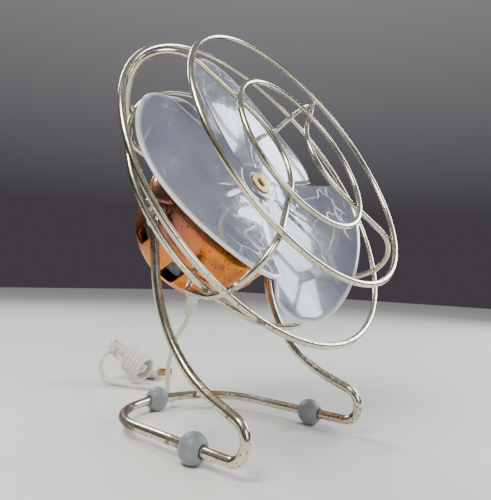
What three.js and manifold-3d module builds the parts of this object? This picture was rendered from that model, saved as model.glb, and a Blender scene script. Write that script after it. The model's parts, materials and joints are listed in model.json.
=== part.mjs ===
// Desk fan with an open wire guard, clear moulded blades, a plated motor pot and a bent rod stand.
// Millimetres, +Z up. The stand is symmetric about x = 0 and the fan blows towards -Y.
// The head (motor, guard and blades) is drawn in its own frame: origin on the pivot axis,
// +Z along the shaft towards the front, +X as in the world. It leans back by HEAD_TILT.

import * as THREE from 'three';
import { mergeVertices } from 'three/addons/utils/BufferGeometryUtils.js';
import Module from 'manifold-3d';

const wasm = await Module();
wasm.setup();

// ---------------------------------------------------------------- driving dimensions

const GAP = 0.3;                      // clearance left between touching pieces

const HEAD_TILT = THREE.MathUtils.degToRad(28.3);
const PIVOT_Y = 39.4;
const PIVOT_HEIGHT = 184;

// stand
const ROD_D = 7.5;
const BALL_R = 11;
const BALL_FLAT = 0.4;                // worn flat under each ball
const LEG_HALF_SPREAD = 76.5;
const KNEE_HALF_SPREAD = 71;
const FRONT_HALF_SPREAD = 78.5;
const LEG_LEAN = THREE.MathUtils.degToRad(5);
const LEG_FORWARD = 2.7;              // the rod's line passes this far in front of the pivot
const LEG_KNEE_HEIGHT = 67;
const LEG_KNEE_RADIUS = 108;
const SHIN_SLOPE = THREE.MathUtils.degToRad(19);
const HOOK_RADIUS = 13.5;
const FRONT_BALL_Y = -22;
const BASE_CORNER_X = 71;
const BASE_CORNER_Y = 86;
const BASE_CORNER_RADIUS = 60;
const BASE_APEX_Y = 107;
const BASE_APEX_RADIUS = 60;
const EYE_LENGTH = 26;
const EYE_WIDTH = 16;
const EYE_DROP = 4;                   // the hole sits above the middle of the eye
const EYE_THICKNESS = 3.6;

// motor casing, distances along the shaft from the pivot
const FRONT_SHELL_R = 68.7;
const FRONT_SHELL_BACK = -12;
const FRONT_SHELL_FACE = 24;
const FRONT_SHELL_CORNER = 9;
const REAR_SHELL_R = 58;
const REAR_SHELL_BACK = -60;
const REAR_SHELL_CORNER = 18;
const SHELL_WALL = 1.6;
const LIP_R = 1.5;
const SLOT_COUNT = 8;
const SLOT_LENGTH = 24;
const SLOT_WIDTH = 16;
const SLOT_MIDDLE = -36;
const SLOT_FIRST = THREE.MathUtils.degToRad(-44);   // the place before it holds the lead's hole

// through bolts of the casing
const BOLT_D = 4;
const BOLT_INSET = 9;                 // bolt line inside the stator's yoke
const BOLT_ANGLES = [45, 135, 225, 315].map(THREE.MathUtils.degToRad);
const BOLT_HEAD_R = 4;
const BOLT_HEAD_T = 2.6;

// shaft line
const SHAFT_D = 6.35;
const SHAFT_BACK = -57;
const HUB_FACE = 62;                  // front face of the brass hub insert
const BEARING_R = 8;
const BEARING_LENGTH = 12;
const FRONT_BOSS_LENGTH = 11;
const BOSS_WALL = 2.4;
const ARMATURE_R = 24;
const ARMATURE_LENGTH = 30;
const AIR_GAP = 0.5;
const STATOR_CLEARANCE = 2.4;         // stator to the inside of the rear shell
const YOKE_T = 9;
const STATOR_MIDDLE = -24;
const STATOR_POLES = 4;
const COIL_DEPTH = 7;
const POLE_WIDTH = 20;
const THRUST_T = 1.2;                 // thickness of the thrust washers

// blades
const BLADE_COUNT = 3;
const BLADE_R = 128;
const NOTCH_R = 55;
const BLADE_T = 2.4;
const BLADE_RISE = 24;                // leading edge ahead of the hub plane
const BLADE_DROP = 6;                 // trailing edge behind the hub plane
const BLADE_ROOT_R = 30;              // the blades start to twist here
const TWIST_MIDDLE = 0.2;             // place across a blade where it is level
const TWIST_REACH = 0.75;             // from there to its full rise or drop
const NOTCH_BLEND = 0.9;              // neighbouring blades meet from here on
const BLADE_FIRST = THREE.MathUtils.degToRad(9);      // a notch between two blades
const HUB_BOSS_R = 17;
const HUB_BOSS_BACK = 13;
const HUB_BOSS_FRONT = 3;
const INSERT_SLEEVE_R = 7;
const INSERT_FLANGE_R = 10.6;
const INSERT_FLANGE_T = 1.6;
const INSERT_TAIL = 6;                // length behind the plastic, for the set screw
const SET_SCREW_D = 3;

// guard
const WIRE_D = 4.8;
const OUTER_RING_R = 152.5;
const FRONT_RING_R = 124.3;
const SMALL_RING_R = 74.5;
const OUTER_RING_Z = 68;
const FRONT_RING_Z = 112.5;
const REAR_RING_Z = 34;
const ARM_ANGLES = [145.5, 227.5].map(THREE.MathUtils.degToRad);
const RIGHT_HAIRPIN_TURN = THREE.MathUtils.degToRad(178);
const HAIRPIN_NOSE_BEND = 53;
const ARM_FRONT_BEND = 36;
const ARM_SIDE_BEND = 60;
const ARM_SIDE_Z = 54;
const ARM_BACK_BEND = 10;
const ARM_BACK_R = 106;
const SOCKET_R = 4.6;
const SOCKET_LENGTH = 8;
const SOCKET_Z = 6;

// pivots
const PIVOT_SPACER_R = 8;
const PIVOT_SCREW_D = 5;
const PIVOT_HEAD_R = 6.5;
const PIVOT_HEAD_T = 4;
const PIVOT_WASHER_T = 1.2;
const PIVOT_WASHER_R = 8;

// supply lead
const CORD_D = 5.2;
const CORD_EXIT_ANGLE = THREE.MathUtils.degToRad(-90);
const CORD_EXIT_SLOPE = THREE.MathUtils.degToRad(-45);
const GROMMET_LENGTH = 20;
const GROMMET_R = 5.5;
const HANK_FRONT = [66, 203];         // middle of the wound barrel's front face, in plan
const HANK_HEADING = THREE.MathUtils.degToRad(105);
const HANK_RISE = THREE.MathUtils.degToRad(25);
const HANK_LENGTH = 64;
const HANK_HALF_WIDTH = 11;
const HANK_HALF_HEIGHT = 8.6;
const BARREL_R = 16.2;
const BARREL_LENGTH = 30;
const LEAD_ENTRY = 46;                // where the lead meets the hank's side, from its front
const TAIL_EXIT = 44;
const FLOOR_CLEARANCE = 0.4;
const PLUG_LENGTH = 26;
const PLUG_FRONT_WIDTH = 23;
const PLUG_REAR_WIDTH = 11;
const PLUG_HEIGHT = 15;
const PLUG_REAR = [84, 240];
const PLUG_HEADING = THREE.MathUtils.degToRad(-50);
const PLUG_BLADE_LENGTH = 16;
const PLUG_BLADE_WIDTH = 6.3;
const PLUG_BLADE_T = 1.5;
const PLUG_BLADE_PITCH = 12.7;

const WIRE_SIDES = 8;
const ROD_SIDES = 10;
const STEP_ANGLE = THREE.MathUtils.degToRad(15);

// ---------------------------------------------------------------- materials

function finish(color, roughness, metalness) {
  return new THREE.MeshStandardMaterial({ color, roughness, metalness });
}

const chrome = () => finish(0xb9b4a6, 0.22, 1);
const copperPlate = () => finish(0xb5622a, 0.3, 1);
const steel = () => finish(0x8d8a84, 0.4, 1);
const laminations = () => finish(0x55575a, 0.55, 0.9);
const copperWire = () => finish(0x9a4a24, 0.45, 0.8);
const brass = () => finish(0xc8a24a, 0.3, 1);
const bronze = () => finish(0x8a6a3a, 0.5, 0.9);
const clearPlastic = () => finish(0xc9d3dc, 0.15, 0);
const rubber = () => finish(0x7d8586, 0.7, 0);
const ivoryVinyl = () => finish(0xe6e3d8, 0.5, 0);

// ---------------------------------------------------------------- solids

function bare(geometry) {
  const copy = geometry.clone();
  copy.deleteAttribute('normal');
  copy.deleteAttribute('uv');
  return mergeVertices(copy, 1e-4);
}

function solid(geometry) {
  const merged = bare(geometry);
  return new wasm.Manifold(new wasm.Mesh({
    numProp: 3,
    vertProperties: new Float32Array(merged.attributes.position.array),
    triVerts: new Uint32Array(merged.index.array),
  }));
}

function geometryOf(manifold) {
  const mesh = manifold.getMesh();
  const geometry = new THREE.BufferGeometry();
  geometry.setAttribute('position', new THREE.BufferAttribute(mesh.vertProperties, 3));
  geometry.setIndex(new THREE.BufferAttribute(mesh.triVerts, 1));
  return geometry;
}

function cut(geometry, ...tools) {
  return geometryOf(tools.reduce((body, tool) => body.subtract(solid(tool)), solid(geometry)));
}

function join(geometry, ...others) {
  return geometryOf(others.reduce((body, other) => body.add(solid(other)), solid(geometry)));
}

// A solid of revolution about +Z from (radius, z) pairs that close on themselves or on the axis.
function turned(profile, sides) {
  const points = profile.map(([r, z]) => new THREE.Vector2(r, z));
  return new THREE.LatheGeometry(points, sides).rotateX(Math.PI / 2);
}

// A cylinder on +Z between two heights.
function bar(radius, from, to, sides = 24) {
  const middle = (from + to) / 2;
  return new THREE.CylinderGeometry(radius, radius, to - from, sides).rotateX(Math.PI / 2)
    .translate(0, 0, middle);
}

// A plain tube on +Z.
function tube(outer, inner, from, to, sides = 32) {
  return turned([[inner, from], [outer, from], [outer, to], [inner, to], [inner, from]], sides);
}

function roundSection(diameter, sides) {
  const section = new THREE.Shape();
  for (let i = 0; i < sides; i += 1) {
    const angle = (2 * Math.PI * (i + 0.5)) / sides;
    const x = (diameter / 2) * Math.cos(angle);
    const y = (diameter / 2) * Math.sin(angle);
    if (i === 0) section.moveTo(x, y);
    else section.lineTo(x, y);
  }
  section.closePath();
  return section;
}

// Points of a bent wire: straight runs between corners, each corner rounded to its bend radius.
// A corner is { at: Vector3, bend: radius }; the two ends have no bend.
function bentPoints(corners, longest) {
  const points = [corners[0].at.clone()];
  for (let i = 1; i < corners.length - 1; i += 1) {
    const corner = corners[i].at;
    const back = corners[i - 1].at.clone().sub(corner).normalize();
    const ahead = corners[i + 1].at.clone().sub(corner).normalize();
    const turn = Math.PI - back.angleTo(ahead);
    const reach = corners[i].bend * Math.tan(turn / 2);
    const inward = back.clone().add(ahead).normalize();
    const centre = corner.clone().addScaledVector(inward, corners[i].bend / Math.cos(turn / 2));
    const from = corner.clone().addScaledVector(back, reach).sub(centre);
    const axis = from.clone().cross(corner.clone().addScaledVector(ahead, reach).sub(centre));
    axis.normalize();
    const steps = 2 * Math.max(1, Math.ceil(turn / STEP_ANGLE / 2));
    for (let k = 0; k <= steps; k += 1) {
      points.push(from.clone().applyAxisAngle(axis, (turn * k) / steps).add(centre));
    }
  }
  points.push(corners[corners.length - 1].at.clone());
  return spacedPoints(points, longest);
}

// The same points with more added on long straight runs.
function spacedPoints(points, longest) {
  const spaced = [points[0]];
  for (let i = 1; i < points.length; i += 1) {
    const run = points[i].distanceTo(points[i - 1]);
    const parts = Math.max(1, Math.ceil(run / longest));
    for (let k = 1; k <= parts; k += 1) {
      spaced.push(points[i - 1].clone().lerp(points[i], k / parts));
    }
  }
  return spaced;
}

// A curve that visits its points at equal steps of its parameter.
class PointPath extends THREE.Curve {
  constructor(points) {
    super();
    this.points = points;
  }

  getPoint(t, target = new THREE.Vector3()) {
    const at = Math.min(Math.max(t, 0), 1) * (this.points.length - 1);
    const index = Math.min(Math.floor(at), this.points.length - 2);
    return target.lerpVectors(this.points[index], this.points[index + 1], at - index);
  }

  getPointAt(t, target) {
    return this.getPoint(t, target);
  }

  getTangent(t, target = new THREE.Vector3()) {
    const at = Math.min(Math.max(t, 0), 1) * (this.points.length - 1);
    const index = Math.round(at);
    const before = this.points[Math.max(index - 1, 0)];
    const after = this.points[Math.min(index + 1, this.points.length - 1)];
    return target.subVectors(after, before).normalize();
  }

  getTangentAt(t, target) {
    return this.getTangent(t, target);
  }
}

// A round bar swept along points.
function swept(points, diameter, sides) {
  return new THREE.ExtrudeGeometry(roundSection(diameter, sides), {
    steps: points.length - 1,
    extrudePath: new PointPath(points),
  });
}

function ring(radius, z, diameter, steps) {
  return new THREE.TorusGeometry(radius, diameter / 2, WIRE_SIDES, steps).translate(0, 0, z);
}

// Turns geometry drawn on +Z so that it points along +X, then out at an angle round the shaft.
function aroundShaft(geometry, angle) {
  return geometry.rotateY(Math.PI / 2).rotateZ(angle);
}

function polar(radius, angle, z) {
  return new THREE.Vector3(radius * Math.cos(angle), radius * Math.sin(angle), z);
}

// ---------------------------------------------------------------- scene groups

const fan = new THREE.Group();
const head = new THREE.Group();
head.position.set(0, PIVOT_Y, PIVOT_HEIGHT);
head.rotation.x = Math.PI / 2 - HEAD_TILT;
fan.add(head);

function place(group, name, geometry, material) {
  const mesh = new THREE.Mesh(geometry, material);
  mesh.name = name;
  group.add(mesh);
  return mesh;
}

// ---------------------------------------------------------------- stand

const ballZ = BALL_R - BALL_FLAT;
const eyeInner = LEG_HALF_SPREAD - ROD_D / 2 + 3;
const eyeOuter = eyeInner + EYE_THICKNESS;

// Where the line of the leg reaches the knee, and where the shin would reach the floor run.
const kneeY = PIVOT_Y - LEG_FORWARD - (PIVOT_HEIGHT - LEG_KNEE_HEIGHT) * Math.tan(LEG_LEAN);
const frontY = kneeY - (LEG_KNEE_HEIGHT - ballZ) / Math.tan(SHIN_SLOPE);

// The floor runs close in slightly from the front hooks to the rear corners.
function floorRunX(y) {
  const share = (y - frontY) / (BASE_CORNER_Y - frontY);
  return FRONT_HALF_SPREAD + (BASE_CORNER_X - FRONT_HALF_SPREAD) * share;
}

// One leg and its floor run, from the pivot eye round the front hook into the ball foot.
function legCorners(side) {
  const topDrop = PIVOT_SPACER_R + 2;
  const topY = PIVOT_Y - LEG_FORWARD - topDrop * Math.tan(LEG_LEAN);
  const eyeX = (eyeInner + eyeOuter) / 2;
  const at = (x, y, z) => new THREE.Vector3(side * x, y, z);
  return [
    { at: at(eyeX, topY, PIVOT_HEIGHT - topDrop) },
    { at: at(KNEE_HALF_SPREAD, kneeY, LEG_KNEE_HEIGHT), bend: LEG_KNEE_RADIUS },
    { at: at(FRONT_HALF_SPREAD, frontY, ballZ), bend: HOOK_RADIUS },
    { at: at(floorRunX(FRONT_BALL_Y), FRONT_BALL_Y, ballZ) },
  ];
}

function eye(side) {
  const shape = new THREE.Shape();
  shape.absellipse(EYE_DROP, 0, EYE_LENGTH / 2, EYE_WIDTH / 2, 0, 2 * Math.PI);
  const hole = new THREE.Path();
  hole.absarc(0, 0, PIVOT_SCREW_D / 2 + GAP, 0, 2 * Math.PI, true);
  shape.holes.push(hole);
  const plate = new THREE.ExtrudeGeometry(shape, {
    depth: EYE_THICKNESS, bevelEnabled: false, curveSegments: 10,
  });
  plate.translate(0, 0, -EYE_THICKNESS / 2).rotateY(Math.PI / 2).rotateX(-LEG_LEAN);
  return plate.translate((side * (eyeInner + eyeOuter)) / 2, PIVOT_Y, PIVOT_HEIGHT);
}

function leg(side) {
  const rod = swept(bentPoints(legCorners(side), 30), ROD_D, ROD_SIDES);
  return join(rod, eye(side));
}

place(fan, 'left_leg', leg(-1), chrome());
place(fan, 'right_leg', leg(1), chrome());

const baseStart = FRONT_BALL_Y + GAP;

function baseCorners() {
  const corner = (side) => new THREE.Vector3(side * BASE_CORNER_X, BASE_CORNER_Y, ballZ);
  const start = (side) => new THREE.Vector3(side * floorRunX(baseStart), baseStart, ballZ);
  return [
    { at: start(-1) },
    { at: corner(-1), bend: BASE_CORNER_RADIUS },
    { at: new THREE.Vector3(0, BASE_APEX_Y, ballZ), bend: BASE_APEX_RADIUS },
    { at: corner(1), bend: BASE_CORNER_RADIUS },
    { at: start(1) },
  ];
}

const basePoints = bentPoints(baseCorners(), 30);
place(fan, 'base_bow', swept(basePoints, ROD_D, ROD_SIDES), chrome());

// Balls are threaded on the rod; each bore follows the rod's own line.
function ball(x, y, rodPoints) {
  const sphere = new THREE.SphereGeometry(BALL_R, 18, 12).rotateX(Math.PI / 2);
  sphere.translate(x, y, ballZ);
  const floor = new THREE.BoxGeometry(4 * BALL_R, 4 * BALL_R, BALL_R).translate(x, y, -BALL_R / 2);
  const bore = swept(rodPoints, ROD_D + 2 * GAP, ROD_SIDES);
  return cut(sphere, floor, bore);
}

function straightBore(side) {
  const reach = 2 * BALL_R;
  return [-reach, 0, reach].map((step) => {
    const y = FRONT_BALL_Y + step;
    return new THREE.Vector3(side * floorRunX(y), y, ballZ);
  });
}

const apex = basePoints[(basePoints.length - 1) / 2];
place(fan, 'left_ball_foot', ball(-floorRunX(FRONT_BALL_Y), FRONT_BALL_Y, straightBore(-1)), rubber());
place(fan, 'right_ball_foot', ball(floorRunX(FRONT_BALL_Y), FRONT_BALL_Y, straightBore(1)), rubber());
place(fan, 'rear_ball_foot', ball(0, apex.y, basePoints), rubber());

// ---------------------------------------------------------------- motor casing

// A quarter round in a turned profile, from one angle to another about a corner's centre.
function fillet(centreR, centreZ, radius, from, to, steps = 4) {
  const points = [];
  for (let i = 0; i <= steps; i += 1) {
    const angle = from + ((to - from) * i) / steps;
    points.push([centreR + radius * Math.cos(angle), centreZ + radius * Math.sin(angle)]);
  }
  return points;
}

const bearingSeatR = BEARING_R + GAP;
const bearingBossR = bearingSeatR + BOSS_WALL;
const statorR = REAR_SHELL_R - SHELL_WALL - STATOR_CLEARANCE;
const yokeInnerR = statorR - YOKE_T;
const boltCircleR = yokeInnerR - BOLT_INSET;

function frontShell() {
  const outR = FRONT_SHELL_R;
  const inR = outR - SHELL_WALL;
  const face = FRONT_SHELL_FACE;
  const bend = FRONT_SHELL_CORNER;
  const outer = fillet(outR - bend, face - bend, bend, 0, Math.PI / 2);
  const inner = fillet(outR - bend, face - bend, bend - SHELL_WALL, Math.PI / 2, 0);
  const lip = fillet(outR, FRONT_SHELL_BACK + LIP_R, LIP_R, -Math.PI / 2, Math.PI / 2, 4);
  return turned([
    [inR, FRONT_SHELL_BACK],
    ...lip,
    ...outer,
    [bearingBossR, face],
    [bearingBossR, face + FRONT_BOSS_LENGTH],
    [bearingSeatR - 2, face + FRONT_BOSS_LENGTH],
    [bearingSeatR - 2, face + FRONT_BOSS_LENGTH - SHELL_WALL],
    [bearingSeatR, face + FRONT_BOSS_LENGTH - SHELL_WALL],
    [bearingSeatR, face - SHELL_WALL],
    ...inner,
    [inR, FRONT_SHELL_BACK],
  ], 32);
}

// Places geometry drawn on +Z at the lead's hole, pointing out of the casing.
function atCordExit(geometry) {
  geometry.rotateY(Math.PI / 2 - CORD_EXIT_SLOPE).rotateZ(CORD_EXIT_ANGLE);
  const centre = polar(REAR_SHELL_R - REAR_SHELL_CORNER, CORD_EXIT_ANGLE,
    REAR_SHELL_BACK + REAR_SHELL_CORNER);
  return geometry.translate(centre.x, centre.y, centre.z);
}

function slotCutter(angle) {
  const shape = new THREE.Shape();
  const half = SLOT_WIDTH / 2;
  const corner = 4;
  const end = SLOT_LENGTH / 2;
  shape.moveTo(-end + corner, -half);
  shape.lineTo(end - corner, -half);
  shape.absarc(end - corner, -half + corner, corner, -Math.PI / 2, 0);
  shape.lineTo(end, half - corner);
  shape.absarc(end - corner, half - corner, corner, 0, Math.PI / 2);
  shape.lineTo(-end + corner, half);
  shape.absarc(-end + corner, half - corner, corner, Math.PI / 2, Math.PI);
  shape.lineTo(-end, -half + corner);
  shape.absarc(-end + corner, -half + corner, corner, Math.PI, 1.5 * Math.PI);
  const block = new THREE.ExtrudeGeometry(shape, {
    depth: 30, bevelEnabled: false, curveSegments: 3,
  });
  block.translate(0, 0, REAR_SHELL_R - 20);
  aroundShaft(block, angle);
  return block.translate(0, 0, SLOT_MIDDLE);
}

const flangeR = FRONT_SHELL_R - SHELL_WALL - GAP;
const rearBossLength = BEARING_LENGTH;

function rearShell() {
  const outR = REAR_SHELL_R;
  const inR = outR - SHELL_WALL;
  const back = REAR_SHELL_BACK;
  const bend = REAR_SHELL_CORNER;
  const flangeBack = FRONT_SHELL_BACK + 1;
  const outer = fillet(outR - bend, back + bend, bend, -Math.PI / 2, 0, 5);
  const inner = fillet(outR - bend, back + bend, bend - SHELL_WALL, 0, -Math.PI / 2, 5);
  const body = turned([
    [0, back],
    ...outer,
    [outR, flangeBack],
    [flangeR, flangeBack],
    [flangeR, flangeBack + SHELL_WALL],
    [inR, flangeBack + SHELL_WALL],
    ...inner,
    [bearingBossR, back + SHELL_WALL],
    [bearingBossR, back + SHELL_WALL + rearBossLength],
    [bearingSeatR, back + SHELL_WALL + rearBossLength],
    [bearingSeatR, back + SHELL_WALL],
    [0, back + SHELL_WALL],
  ], 32);
  const cutters = [];
  for (let i = 0; i < SLOT_COUNT - 1; i += 1) {
    cutters.push(slotCutter(SLOT_FIRST + (2 * Math.PI * i) / SLOT_COUNT));
  }
  cutters.push(atCordExit(bar(GROMMET_R + GAP, 5, 40, 16)));
  for (const angle of BOLT_ANGLES) {
    cutters.push(boltAt(bar(BOLT_D / 2 + GAP, back - 5, back + 10, 12), angle));
  }
  return cut(body, ...cutters);
}

// ---------------------------------------------------------------- through bolts

function boltAt(geometry, angle) {
  const spot = polar(boltCircleR, angle, 0);
  return geometry.translate(spot.x, spot.y, 0);
}

function throughBolt(angle) {
  const shank = bar(BOLT_D / 2, REAR_SHELL_BACK - GAP - 1, FRONT_SHELL_FACE - SHELL_WALL - GAP, 12);
  const headFrom = REAR_SHELL_BACK - GAP - BOLT_HEAD_T;
  const cap = bar(BOLT_HEAD_R, headFrom, REAR_SHELL_BACK - GAP, 12);
  const slotBlock = new THREE.BoxGeometry(2 * BOLT_HEAD_R + 1, 0.9, 1.6).translate(0, 0, headFrom);
  return boltAt(cut(join(shank, cap), slotBlock), angle);
}

place(head, 'front_shell', frontShell(), copperPlate());
place(head, 'rear_shell', rearShell(), copperPlate());
BOLT_ANGLES.forEach((angle, i) => {
  place(head, `through_bolt_${i + 1}`, throughBolt(angle), steel());
});

// ---------------------------------------------------------------- stator, coils, bearings

const statorFrom = STATOR_MIDDLE - ARMATURE_LENGTH / 2;
const statorTo = STATOR_MIDDLE + ARMATURE_LENGTH / 2;
const poleR = ARMATURE_R + AIR_GAP;
const poleReach = yokeInnerR - poleR + 1;

function stator() {
  const yoke = tube(statorR, yokeInnerR, statorFrom, statorTo, 48);
  const poles = [];
  for (let i = 0; i < STATOR_POLES; i += 1) {
    const pole = new THREE.BoxGeometry(poleReach, POLE_WIDTH, ARMATURE_LENGTH);
    pole.translate(poleR + poleReach / 2, 0, STATOR_MIDDLE);
    poles.push(pole.rotateZ((2 * Math.PI * i) / STATOR_POLES));
  }
  const round = bar(poleR, statorFrom - 1, statorTo + 1, 32);
  return cut(join(yoke, ...poles), round);
}

// A coil of enamelled wire round one pole.
function coil(index) {
  const long = ARMATURE_LENGTH + 2 * COIL_DEPTH;
  const wide = POLE_WIDTH + 2 * COIL_DEPTH;
  const thick = poleReach - 8;
  const outer = new THREE.BoxGeometry(thick, wide, long);
  const inner = new THREE.BoxGeometry(thick + 2, POLE_WIDTH + 2 * GAP, ARMATURE_LENGTH + 2 * GAP);
  const corners = [];
  for (const y of [-1, 1]) {
    for (const z of [-1, 1]) {
      const nick = new THREE.BoxGeometry(thick + 2, 8, 8).rotateX(Math.PI / 4);
      corners.push(nick.translate(0, (y * wide) / 2, (z * long) / 2));
    }
  }
  const body = cut(outer, inner, ...corners);
  body.translate(poleR + 2 + thick / 2, 0, STATOR_MIDDLE);
  return body.rotateZ((2 * Math.PI * index) / STATOR_POLES);
}

place(head, 'stator_core', stator(), laminations());
for (let i = 0; i < STATOR_POLES; i += 1) {
  place(head, `stator_coil_${i + 1}`, coil(i), copperWire());
}

const bearingBoreR = SHAFT_D / 2 + GAP;
const frontBearingFrom = FRONT_SHELL_FACE + FRONT_BOSS_LENGTH - SHELL_WALL - GAP - BEARING_LENGTH;
const rearBearingFrom = REAR_SHELL_BACK + SHELL_WALL + GAP;

function bearing(from) {
  const edge = 1;
  const to = from + BEARING_LENGTH;
  return turned([
    [bearingBoreR, from],
    [BEARING_R - edge, from],
    [BEARING_R, from + edge],
    [BEARING_R, to - edge],
    [BEARING_R - edge, to],
    [bearingBoreR, to],
    [bearingBoreR, from],
  ], 24);
}

place(head, 'front_bearing', bearing(frontBearingFrom), bronze());
place(head, 'rear_bearing', bearing(rearBearingFrom), bronze());

// ---------------------------------------------------------------- shaft, armature, thrust washers

const shaftTo = HUB_FACE - 4;
place(head, 'motor_shaft', turned([
  [0, SHAFT_BACK],
  [SHAFT_D / 2 - 0.6, SHAFT_BACK],
  [SHAFT_D / 2, SHAFT_BACK + 0.6],
  [SHAFT_D / 2, shaftTo - 0.6],
  [SHAFT_D / 2 - 0.6, shaftTo],
  [0, shaftTo],
], 20), steel());

// Laminated core with the cast end rings of a squirrel cage.
function armature() {
  const endRing = 3;
  const endR = ARMATURE_R - 4;
  const bore = SHAFT_D / 2 + GAP;
  return turned([
    [bore, statorFrom - endRing],
    [endR, statorFrom - endRing],
    [endR, statorFrom],
    [ARMATURE_R, statorFrom],
    [ARMATURE_R, statorTo],
    [endR, statorTo],
    [endR, statorTo + endRing],
    [bore, statorTo + endRing],
    [bore, statorFrom - endRing],
  ], 32);
}

place(head, 'armature', armature(), laminations());

const frontThrustTo = frontBearingFrom - GAP;
const rearThrustFrom = rearBearingFrom + BEARING_LENGTH + GAP;
place(head, 'front_thrust_washer',
  tube(BEARING_R - 1.5, bearingBoreR, frontThrustTo - THRUST_T, frontThrustTo, 20), steel());
place(head, 'rear_thrust_washer',
  tube(BEARING_R - 1.5, bearingBoreR, rearThrustFrom, rearThrustFrom + THRUST_T, 20), steel());

// ---------------------------------------------------------------- blades and hub

const hubPlane = HUB_FACE - INSERT_FLANGE_T - HUB_BOSS_FRONT;
const bladeSector = (2 * Math.PI) / BLADE_COUNT;

// Place across a blade: 0 on its midline, -1 and 1 in the notches at angles 0, bladeSector and so on.
function bladeShare(angle) {
  const turns = angle / bladeSector;
  return 2 * (turns - Math.floor(turns)) - 1;
}

// Outer edge of the three round lobes and the notches between them.
function bladeEdge(angle) {
  const share = Math.abs(bladeShare(angle));
  const lobe = Math.max(0, 1 - share ** 9) ** 0.42;
  return NOTCH_R + (BLADE_R - NOTCH_R) * lobe;
}

// Height of the twisted surface above the hub plane; it rises towards the leading edge.
function bladeLift(radius, angle) {
  const share = bladeShare(angle);
  const reach = Math.max(0, radius - BLADE_ROOT_R) / (BLADE_R - BLADE_ROOT_R);
  const middle = (BLADE_RISE - BLADE_DROP) / 2;
  const swing = (BLADE_RISE + BLADE_DROP) / 2;
  const across = THREE.MathUtils.clamp((share - TWIST_MIDDLE) / TWIST_REACH, -1, 1);
  const blend = THREE.MathUtils.smoothstep(Math.abs(share), NOTCH_BLEND, 1);
  const twist = Math.sin((across * Math.PI) / 2) * (1 - blend);
  return reach ** 1.4 * (middle + swing * twist);
}

function blades() {
  const rows = 6;
  const radii = [];
  for (let i = 0; i <= rows; i += 1) {
    radii.push(HUB_BOSS_R + ((BLADE_R - HUB_BOSS_R) * i) / rows);
  }
  const bore = INSERT_SLEEVE_R + GAP;
  const counterbore = INSERT_FLANGE_R + GAP;
  const plate = turned([
    [bore, -HUB_BOSS_BACK],
    [HUB_BOSS_R - 2, -HUB_BOSS_BACK],
    ...radii.map((radius) => [radius, -BLADE_T / 2]),
    ...radii.toReversed().map((radius) => [radius, BLADE_T / 2]),
    [HUB_BOSS_R - 2, HUB_BOSS_FRONT],
    [counterbore, HUB_BOSS_FRONT],
    [bore, HUB_BOSS_FRONT - GAP],
    [bore, -HUB_BOSS_BACK],
  ], 60);
  const position = plate.attributes.position;
  for (let i = 0; i < position.count; i += 1) {
    const x = position.getX(i);
    const y = position.getY(i);
    const radius = Math.hypot(x, y);
    if (radius > HUB_BOSS_R + 0.01) {
      const angle = Math.atan2(y, x) + 1e-6;
      const share = (radius - HUB_BOSS_R) / (BLADE_R - HUB_BOSS_R);
      const moved = HUB_BOSS_R + share * (bladeEdge(angle) - HUB_BOSS_R);
      const lift = bladeLift(moved, angle);
      position.setXYZ(i, (x / radius) * moved, (y / radius) * moved, position.getZ(i) + lift);
    }
  }
  return plate.rotateZ(BLADE_FIRST).translate(0, 0, hubPlane);
}

place(head, 'fan_blades', blades(), clearPlastic());

const insertBack = hubPlane - HUB_BOSS_BACK - INSERT_TAIL;

function hubInsert() {
  const bore = SHAFT_D / 2 + GAP;
  const flangeBack = HUB_FACE - INSERT_FLANGE_T + GAP;
  const body = turned([
    [bore, insertBack],
    [INSERT_SLEEVE_R, insertBack],
    [INSERT_SLEEVE_R, flangeBack],
    [INSERT_FLANGE_R, flangeBack],
    [INSERT_FLANGE_R, HUB_FACE - 0.5],
    [INSERT_FLANGE_R - 0.5, HUB_FACE],
    [bore + 1.2, HUB_FACE],
    [bore, HUB_FACE - 1.2],
    [bore, insertBack],
  ], 32);
  const screwHole = aroundShaft(bar(SET_SCREW_D / 2 + GAP, 0, 2 * INSERT_SLEEVE_R, 12), 0);
  return cut(body, screwHole.translate(0, 0, insertBack + INSERT_TAIL / 2));
}

function setScrew() {
  const from = SHAFT_D / 2 + GAP;
  const to = INSERT_SLEEVE_R + 1;
  const slotBlock = new THREE.BoxGeometry(0.7, SET_SCREW_D + 1, 1.6).translate(0, 0, to);
  const screw = cut(bar(SET_SCREW_D / 2, from, to, 12), slotBlock);
  return aroundShaft(screw, 0).translate(0, 0, insertBack + INSERT_TAIL / 2);
}

place(head, 'hub_insert', hubInsert(), brass());
place(head, 'hub_set_screw', setScrew(), steel());

// ---------------------------------------------------------------- guard

place(head, 'guard_outer_ring', ring(OUTER_RING_R, OUTER_RING_Z, WIRE_D, 48), chrome());
place(head, 'guard_front_ring', ring(FRONT_RING_R, FRONT_RING_Z, WIRE_D, 40), chrome());
place(head, 'guard_small_ring', ring(SMALL_RING_R, FRONT_RING_Z, WIRE_D, 28), chrome());

const armFrontZ = FRONT_RING_Z - WIRE_D - GAP;
const armSideR = OUTER_RING_R - WIRE_D - GAP;
const armSpread = (armSideR - ARM_BACK_R) / (ARM_SIDE_Z - SOCKET_Z);

// The rear ring lies inside the sloping backs of the arms and touches them all.
const rearRingR = armSideR - armSpread * (ARM_SIDE_Z - REAR_RING_Z)
  - (WIRE_D + GAP) * Math.hypot(1, armSpread);
place(head, 'guard_rear_ring', ring(rearRingR, REAR_RING_Z, WIRE_D, 40), chrome());
const socketTop = FRONT_SHELL_R + GAP + SOCKET_LENGTH;

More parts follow.
